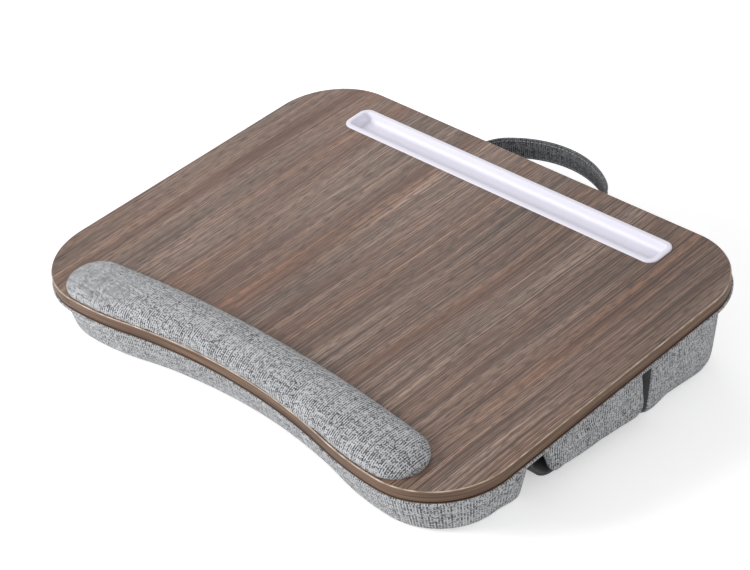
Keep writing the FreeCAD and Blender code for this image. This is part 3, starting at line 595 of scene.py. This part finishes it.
def wedge_line(depth, side, front, rear, front_r, rear_r, channel_y, towards, end_r):
    """Outline of one bolster at a depth under the base, for the front one where towards is -1 and
    for the rear one where it is 1."""
    channel = channel_y - math.tan(wedge) * depth
    if towards < 0:
        x, y = half_width - side - front_r, half_depth - front - front_r
        edge = half_width - side - end_r
        return np.vstack(front_line(front, x, front_hollow) + [
            arc(x, -y, front_r, 270, 360, 40), arc(edge, channel - end_r, end_r, 0, 90, 14),
            arc(-edge, channel - end_r, end_r, 90, 180, 14), arc(-x, -y, front_r, 180, 270, 40)])
    x, y = half_width - side - rear_r, half_depth - rear - rear_r
    edge = half_width - side - end_r
    return np.vstack([
        arc(-edge, channel + end_r, end_r, 180, 270, 18), arc(edge, channel + end_r, end_r, 270, 360, 18),
        arc(x, y, rear_r, 0, 90, 40), arc(-x, y, rear_r, 90, 180, 40)])


def bolster(name, side, front, rear, front_r, rear_r, channel_y, towards, end_r, draft, foot_r, swell):
    """One cover and the points where it is held: its wall from the seam to the floor, rolled under
    by foot_r, on a 4 mm grid. Its corners at the channel grow rounder towards the floor."""
    lean = depth_far * draft
    high = wedge_line(0.0, side, front, rear, front_r, rear_r, channel_y, towards, end_r)
    low = wedge_line(depth_far, side + lean, front + lean, rear + lean, front_r - lean, rear_r - lean,
                     channel_y, towards, end_r + corner_growth)
    both, along = evenly(np.column_stack(((high + low) / 2, high, low)), 4.0)
    both = both[:, 2:]
    top = np.column_stack((both[:, :2], np.full(len(both), underside)))
    deep = np.column_stack((both[:, 2:], np.full(len(both), underside - depth_far)))
    top_z, deep_z = in_row(top)[:, 2] * 1000, in_row(deep)[:, 2] * 1000
    foot = top + (deep - top) * (top_z / (top_z - deep_z))[:, None]
    wall = np.linalg.norm(foot - top, axis=1)
    down = (foot - top) / wall[:, None]
    inward = np.column_stack((-outward(both[:, :2]), np.zeros(len(both))))
    inward[:, 2] = math.tan(wedge) * -inward[:, 1]
    inward /= np.linalg.norm(inward, axis=1)[:, None]
    # The roll at the floor is full on the outside and smaller along the channel.
    blend_over = 30.0
    off_channel = np.clip((towards * (both[:, 1] - channel_y) - end_r) / blend_over, 0.0, 1.0)
    inner_r = 0.65 * foot_r
    outer_share = off_channel * off_channel * (3 - 2 * off_channel)
    radius = np.minimum(inner_r + (foot_r - inner_r) * outer_share, 0.7 * wall)
    rows, wall_rows = [], 15
    for share in np.linspace(0.0, 1.0, wall_rows):
        rows.append(top + down * ((wall - radius) * share)[:, None])
    for turn in np.radians((15, 30, 45, 60, 75, 90)):
        out = down * ((wall - radius) + radius * math.sin(turn))[:, None]
        rows.append(top + out + inward * (radius * (1 - math.cos(turn)))[:, None])
    rows.append(rows[-1] + inward * (0.2 * radius)[:, None])
    # The padding swells each wall most at its middle height.
    for place in range(wall_rows):
        rows[place] = rows[place] - inward * swell * math.sin(math.pi * (place / (wall_rows - 1)) ** 0.8)
    piece = skin(name, rows, unrolled(rows, along), [heather_cloth, felt],
                 start=True, end=True, smooth_deg=70)
    # The side in the channel, and the corner that turns into it, are in the sleeve's dark felt. The felt is
    # a lining on that side; round the corner it is painted shade for the deep gap beside the drawer.
    for face in piece.data.polygons:
        if face.normal.y * -towards > 0.38:
            face.material_index = 1
    columns = len(both)
    seam, floor_rows = range(columns), range((len(rows) - 2) * columns, len(rows) * columns)
    return piece, [*seam, *floor_rows]


front_bolster, held = bolster(
    "front_bolster", side=11.0, front=5.2, rear=0.0, front_r=63.0, rear_r=55.0,
    channel_y=channel_front_y, towards=-1, end_r=9.0, draft=0.15, foot_r=8.0, swell=0.6)
puff(front_bolster, held, 4.0, 0.0012)

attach(front_bolster, "desk")
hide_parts("front_bolster_cover", "front_bolster_fill")

rear_bolster, held = bolster(
    "rear_bolster", side=6.5, front=0.0, rear=8.0, front_r=66.0, rear_r=66.0,
    channel_y=channel_rear_y, towards=1, end_r=5.0, draft=0.12, foot_r=17.0, swell=1.0)
puff(rear_bolster, held, 4.0, 0.002)

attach(rear_bolster, "desk")
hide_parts("rear_bolster_cover", "rear_bolster_fill")

# ---- Runners
# Two extruded black ABS rails are screwed up into the base, one on either side of the drawer.
# The tray's flanges and hooks slide in them.

# Extruded black ABS: satin, with fine drawn lines along its length.
black_plastic, tree, shader = new_material("black_plastic", Roughness=0.42)
here = add(tree, "ShaderNodeTexCoord").outputs["Object"]
lines_at = add(tree, "ShaderNodeMapping", {"Vector": here, "Scale": (6.0, 900.0, 900.0)}).outputs[0]
drawn = add(tree, "ShaderNodeTexNoise", {"Vector": lines_at, "Scale": 1.0, "Detail": 2.0}).outputs[0]
black = add(tree, "ShaderNodeValToRGB", {0: drawn}, stops=[(0.3, "#161617"), (0.7, "#232325")]).outputs[0]
tree.links.new(black, shader.inputs["Base Color"])
for name in ("runner_front", "runner_rear"):
    finish_with(cad[name], black_plastic)

# Zinc-plated steel screws: bright, with a faint grain from the plating.
zinc, tree, shader = new_material("zinc_plated_steel", Roughness=0.34, Metallic=1.0)
here = add(tree, "ShaderNodeTexCoord").outputs["Object"]
plating = add(tree, "ShaderNodeTexNoise", {"Vector": here, "Scale": 1500.0, "Detail": 2.0}).outputs[0]
steel = add(tree, "ShaderNodeValToRGB", {0: plating}, stops=[(0.3, "#A9ABAE"), (0.7, "#C6C8CA")]).outputs[0]
tree.links.new(steel, shader.inputs["Base Color"])
finish_with(cad["runner_screws"], zinc)

# ---- Drawer tray
# The drawer is one polypropylene moulding with flanges that slide in the runners.
# Two screws hold its padded front.

# Grey polypropylene, moulded: a fine spark-eroded skin inside and out, so its gloss is dull.
grey_plastic, tree, shader = new_material("grey_polypropylene", Roughness=0.5)
here = add(tree, "ShaderNodeTexCoord").outputs["Object"]
eroded = add(tree, "ShaderNodeTexNoise", {"Vector": here, "Scale": 1200.0, "Detail": 3.0}).outputs[0]
grey = add(tree, "ShaderNodeValToRGB", {0: eroded}, stops=[(0.3, "#3A3B3E"), (0.7, "#44464A")]).outputs[0]
tree.links.new(grey, shader.inputs["Base Color"])
tree.links.new(add(tree, "ShaderNodeBump", {
    "Strength": 0.3, "Distance": 0.0002, "Height": eroded}).outputs[0], shader.inputs["Normal"])
finish_with(cad["drawer_tray"], grey_plastic)
finish_with(cad["drawer_front_screws"], zinc)

# ---- Drawer front
# A stiff board on the tray's end carries a foam pad in heather cloth with a soft rounded edge.
# The cloth is glued down behind the board, whose own edge shows as a thin pale line.
front_x, pad_thick, board_foot = 245.2, 6.1, 12.2
pad_front_y, pad_rear_y, pad_gap, pad_lean = -75.5, 48.8, 1.2, 15.5
rim_in, rim_rise = 4.4, 4.2
# Pale grey fibreboard, sawn and unpainted.
pale_board, tree, shader = new_material("pale_fibreboard", Roughness=0.8)
here = add(tree, "ShaderNodeTexCoord").outputs["Object"]
pulp = add(tree, "ShaderNodeTexNoise", {"Vector": here, "Scale": 800.0, "Detail": 3.0}).outputs[0]
pale = add(tree, "ShaderNodeValToRGB", {0: pulp}, stops=[(0.3, "#8E9093"), (0.7, "#A9ABAE")]).outputs[0]
tree.links.new(pale, shader.inputs["Base Color"])
finish_with(cad["drawer_front_board"], pale_board)


def level(y, height):
    """z in the board's frame of a height over the floor, at a given y."""
    return (height / 1000 - board_centre.z - y / 1000 * math.sin(wedge)) / math.cos(wedge) * 1000


def foot_of(y_top, z_top, lean, height, towards):
    """Where a side that leans from (y_top, z_top) comes down to a height over the floor."""
    slope = towards * math.tan(math.radians(lean))
    depth = (z_top - level(y_top, height)) / (1 - slope * math.tan(wedge))
    return y_top + slope * depth, z_top - depth


def rounded(corners, radii, count=10):
    """A closed line through (y, z) corners, each rounded off by its own radius."""
    line = []
    for at, radius in enumerate(radii):
        corner = np.array(corners[at])
        back, on = np.array(corners[at - 1]) - corner, np.array(corners[(at + 1) % len(corners)]) - corner
        back, on = back / np.linalg.norm(back), on / np.linalg.norm(on)
        half = math.acos(np.clip(back @ on, -1, 1)) / 2
        centre = corner + (back + on) / np.linalg.norm(back + on) * radius / math.sin(half)
        start, end = corner + back * radius / math.tan(half), corner + on * radius / math.tan(half)
        for share in np.linspace(0, 1, count):
            point = start + (end - start) * share - centre
            line.append(centre + point / np.linalg.norm(point) * radius)
    return np.array(line)


# The drawer front's outline in (y, z) runs anticlockwise seen from +X.
pad_top = underside - pad_gap
low_front = foot_of(pad_front_y, pad_top, pad_lean, board_foot, 1)
low_rear = foot_of(pad_rear_y, pad_top, 0.0, board_foot, -1)
pad_corners = [low_front, low_rear, (pad_rear_y, pad_top), (pad_front_y, pad_top)]
pad_path, _ = evenly(rounded(pad_corners, [5.5, 11.0, 5.5, 5.5]), 2.5)
pad_side = outward(pad_path)
pad_section = [(-3.0, 0.0), (0.0, 0.0), (0.0, 0.6), (0.0, 1.6)]
for turn in np.radians((15, 30, 45, 60, 75, 90)):
    pad_section.append((-rim_in + rim_in * math.cos(turn), 1.7 + rim_rise * math.sin(turn)))
pad_rows = np.array([
    np.column_stack((np.full(len(pad_path), front_x + rise), pad_path + out * pad_side))
    for out, rise in pad_section])
# The face goes on to the pad's middle line in a grid, so that it can swell.
pad_middle = np.column_stack((
    np.full(len(pad_path), front_x + pad_thick), np.clip(pad_path[:, 0], -48.0, 26.0),
    np.interp(pad_path[:, 0], (-75.0, 50.0), (-38.0, -46.0))))
face_rows = [
    pad_rows[-1] + (pad_middle - pad_rows[-1]) * share for share in np.linspace(0, 0.94, 9)[1:]]
pad_rows = np.concatenate((pad_rows, face_rows))
pad_cloth = np.concatenate((pad_rows[:, :, 1:], pad_rows[:, :1, 1:]), axis=1)
edge_fall = (front_x + pad_thick - pad_rows[:, :1, :1]) * 0.9
pad_cloth = pad_cloth + np.vstack((pad_side, pad_side[:1])) * edge_fall
drawer_pad = skin("drawer_front_pad", pad_rows, pad_cloth, [heather_cloth],
                  start=True, end=True, smooth_deg=70)
puff(drawer_pad, range(2 * len(pad_path)), 3.0, 0.001)

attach(drawer_pad, "drawer")
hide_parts("drawer_front_cover", "drawer_front_foam")

# ---- Carrying strap
# A folded heather band, 22.5 mm wide, sewn by a tab at each end to the back of the rear bolster.
# Its edges are turned in and stitched down, and it stands on edge in a loop behind the board.
strap_half_t, strap_width = 1.5, 22.5
strap_low = underside - 1.0 - strap_width
leg_x, arch_r, bend_r, foot_r, tab = 73.5, 100.0, 34.0, 8.0, 28.0
arch_y = half_depth + 51.0 - arch_r
bend_x = leg_x - bend_r
rise = math.sqrt((arch_r - bend_r) ** 2 - bend_x ** 2)
turn = math.degrees(math.atan2(rise, bend_x))
foot_x, foot_y = leg_x + foot_r, half_depth - 8.0 + strap_half_t + foot_r
half_path = np.vstack((
    [[foot_x + tab, foot_y - foot_r]],
    arc(foot_x, foot_y, foot_r, 270, 180, 14),
    arc(bend_x, arch_y + rise, bend_r, 0, turn, 24),
    arc(0, arch_y, arch_r, turn, 90, 30),
))
strap_path = np.vstack((half_path, (half_path * (-1, 1))[-2::-1]))
strap_along = np.r_[0.0, np.cumsum(np.linalg.norm(np.diff(strap_path, axis=0), axis=1))]
steps = np.linspace(0.0, strap_along[-1], int(strap_along[-1] / 2.5) + 1)
strap_path = np.column_stack([np.interp(steps, strap_along, column) for column in strap_path.T])
heading = np.gradient(strap_path, axis=0)
strap_side = np.column_stack((heading[:, 1], -heading[:, 0]))
strap_side /= np.linalg.norm(strap_side, axis=1)[:, None]
# The tabs lie on the bolster's back, which leans in below the seam.
on_tab = np.clip((np.abs(strap_path[:, 0]) - leg_x) / foot_r, 0.0, 1.0)


def strap_point(out, z):
    """Points along the strap at one place of its section, (out, z) from the middle of its thickness."""
    line = strap_path + out * strap_side
    line[:, 1] -= 0.12 * (underside - z) * on_tab
    return np.column_stack((line, np.full(len(line), z)))


half, low, high = strap_half_t, strap_low, strap_low + strap_width
# The turned-in edges are 0.35 mm thicker on each side than the middle.
face_side = [(half - 0.35, high - 0.1), (half, high - 0.7), (half, high - 4.2), (half - 0.35, high - 5.0),
             (half - 0.35, low + 5.0), (half, low + 4.2), (half, low + 0.7), (half - 0.35, low + 0.1)]
strap_section = face_side + [(-out, z) for out, z in face_side[::-1]]
strap_rows = np.array([strap_point(out, z) for out, z in strap_section]).transpose(1, 0, 2)
strap_girth = np.r_[0.0, np.cumsum(np.linalg.norm(np.diff(
    np.array(strap_section + strap_section[:1]), axis=0), axis=1))]
strap_cloth = np.dstack(np.meshgrid(steps, strap_girth, indexing="ij"))
# The strap's heather is drawn much darker than the cloth elsewhere: in part a darker web, in part painted
# shade from the board that overhangs it.
strap_web_shaded = heather("heather_strap_shaded", 0.00095, "#8C8D91", "#25262A", 0.50)
strap = skin("carrying_strap", strap_rows, strap_cloth, [strap_web_shaded], start=True, end=True, smooth_deg=50)
softened = strap.modifiers.new("round", "SUBSURF")
softened.levels = softened.render_levels = 1

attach(strap, "desk")
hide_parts("handle_strap")

# Lock stitches, one row near each edge on both faces: 3 mm of pale thread every 4 mm.
# Twisted polyester thread: pale grey, with the twist as fine bars.
thread, tree, shader = new_material("polyester_thread", Roughness=0.7)
here = add(tree, "ShaderNodeTexCoord").outputs["Object"]
twist = add(tree, "ShaderNodeTexWave", {"Vector": here, "Scale": 900.0, "Distortion": 1.0}).outputs[0]
pale = add(tree, "ShaderNodeValToRGB", {0: twist}, stops=[(0.2, "#8A8B8F"), (0.8, "#C9CACD")]).outputs[0]
tree.links.new(pale, shader.inputs["Base Color"])

stitching = bpy.data.node_groups.new("stitching", "GeometryNodeTree")
stitching.interface.new_socket(name="Lines", in_out="INPUT", socket_type="NodeSocketGeometry")
for name, size in (("Pitch", 0.004), ("Length", 0.003), ("Thickness", 0.0007)):
    socket = stitching.interface.new_socket(name=name, in_out="INPUT", socket_type="NodeSocketFloat")
    socket.default_value = size
stitching.interface.new_socket(name="Stitches", in_out="OUTPUT", socket_type="NodeSocketGeometry")
given = add(stitching, "NodeGroupInput")
curve = add(stitching, "GeometryNodeMeshToCurve", {"Mesh": given.outputs["Lines"]}).outputs[0]
places = add(stitching, "GeometryNodeResampleCurve", {
    "Curve": curve, "Length": given.outputs["Pitch"]}, mode="LENGTH").outputs[0]
bead = add(stitching, "GeometryNodeMeshUVSphere", {"Segments": 6, "Rings": 5, "Radius": 0.5}).outputs[0]
tangent = add(stitching, "GeometryNodeInputTangent").outputs[0]
turned = add(stitching, "FunctionNodeAlignEulerToVector", {"Vector": tangent}, axis="Z").outputs[0]
thick, long = given.outputs["Thickness"], given.outputs["Length"]
size = add(stitching, "ShaderNodeCombineXYZ", {"X": thick, "Y": thick, "Z": long}).outputs[0]
laid = add(stitching, "GeometryNodeInstanceOnPoints", {
    "Points": places, "Instance": bead, "Rotation": turned, "Scale": size}).outputs[0]
whole = add(stitching, "GeometryNodeRealizeInstances", {"Geometry": laid}).outputs[0]
dressed = add(stitching, "GeometryNodeSetMaterial", {"Geometry": whole, "Material": thread}).outputs[0]
add(stitching, "NodeGroupOutput", {"Stitches": dressed})


def stitches(name, lines, body):
    """A row of stitches along each line of board-frame points, as one plain mesh."""
    points, edges = [], []
    for line in lines:
        first = len(points)
        points += [tuple(point) for point in in_row(line)]
        edges += [(first + at, first + at + 1) for at in range(len(line) - 1)]
    mesh = bpy.data.meshes.new(name)
    mesh.from_pydata(points, edges, [])
    guide = bpy.data.objects.new(name + "_guide", mesh)
    bpy.context.scene.collection.objects.link(guide)
    guide.modifiers.new("stitching", "NODES").node_group = stitching
    bpy.context.view_layer.update()
    made = bpy.data.meshes.new_from_object(guide.evaluated_get(bpy.context.evaluated_depsgraph_get()))
    bpy.data.objects.remove(guide)
    row = bpy.data.objects.new(name, made)
    bpy.context.scene.collection.objects.link(row)
    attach(row, body)


stitches("strap_stitches", [
    strap_point(out, z)[6:-6]
    for out in (half + 0.05, -half - 0.05) for z in (high - 2.4, low + 2.4)], "desk")

# ---- Stage, light and camera
# A plain pale floor keeps the object's shadow. A broad soft key stands at the front left, weaker
# boxes stand behind on the left and on the right, and the room is white and even.

# Matt white floor paint.
floor_material, tree, shader = new_material("studio_floor", Roughness=0.9)
shader.inputs["Base Color"].default_value = linear("#F4F4F4")
shader.inputs["Specular IOR Level"].default_value = 0.0
seen = add(tree, "ShaderNodeLightPath").outputs["Is Camera Ray"]
lifted = add(tree, "ShaderNodeMath", {0: seen, 1: 0.45}, operation="MULTIPLY").outputs[0]
tree.links.new(lifted, shader.inputs["Emission Strength"])
shader.inputs["Emission Color"].default_value = (1.0, 1.0, 1.0, 1.0)
bpy.ops.mesh.primitive_plane_add(size=12.0, location=(0.0, 0.0, 0.0))
floor = bpy.context.object
floor.name = "studio_floor"
floor.data.materials.append(floor_material)

world = bpy.data.worlds.new("white_room")
bpy.context.scene.world = world
world.use_nodes = True
tree = world.node_tree
rays = add(tree, "ShaderNodeLightPath").outputs
mirrored = add(tree, "ShaderNodeMath", {
    0: rays["Is Glossy Ray"], 1: rays["Is Transmission Ray"]}, operation="MAXIMUM").outputs[0]
plain = add(tree, "ShaderNodeMath", {0: rays["Is Camera Ray"], 1: mirrored}, operation="MAXIMUM").outputs[0]
strength = add(tree, "ShaderNodeMapRange", {"Value": plain, "To Min": 0.44, "To Max": 1.0}).outputs[0]
room = tree.nodes["Background"]
room.inputs["Color"].default_value = (1.0, 1.0, 1.0, 1.0)
tree.links.new(strength, room.inputs["Strength"])


def lamp(name, size, power, place, aim=(0.0, 0.0, 0.05)):
    """A square soft box at a place, turned to face the object."""
    light = bpy.data.lights.new(name, "AREA")
    light.shape, light.size, light.energy = "SQUARE", size, power
    box = bpy.data.objects.new(name, light)
    box.location = place
    box.rotation_mode = "QUATERNION"
    box.rotation_quaternion = (Vector(aim) - Vector(place)).to_track_quat("-Z", "Y")
    bpy.context.scene.collection.objects.link(box)


lamp("key_soft_box", 1.1, 60.0, (-1.5, -2.1, 1.1))
lamp("rear_soft_box", 1.0, 4.5, (-1.1, 0.8, 1.1))
lamp("side_soft_box", 1.4, 17.0, (2.4, -0.7, 1.0))

camera_data = bpy.data.cameras.new("camera")
camera_data.sensor_width, camera_data.lens = 36.0, 104.5
camera = bpy.data.objects.new("camera", camera_data)
bpy.context.scene.collection.objects.link(camera)
azimuth, elevation, roll = math.radians(49.2), math.radians(36.88), math.radians(-7.65)
distance = 1.8608
flat_part = math.cos(elevation)
back = Vector((math.sin(azimuth) * flat_part, -math.cos(azimuth) * flat_part, math.sin(elevation)))
level_right = Vector((math.cos(azimuth), math.sin(azimuth), 0.0))
level_up = back.cross(level_right)
right = level_right * math.cos(roll) + level_up * math.sin(roll)
up = back.cross(right)
aim = Vector((0.01557, -0.02286, 0.0)) + back * distance
turned = Matrix((right, up, back)).transposed().to_4x4()
camera.matrix_world = board_place @ Matrix.Translation(aim) @ turned
camera_data.clip_end = 20.0
bpy.context.scene.camera = camera
bpy.context.scene.view_settings.view_transform = "Standard"
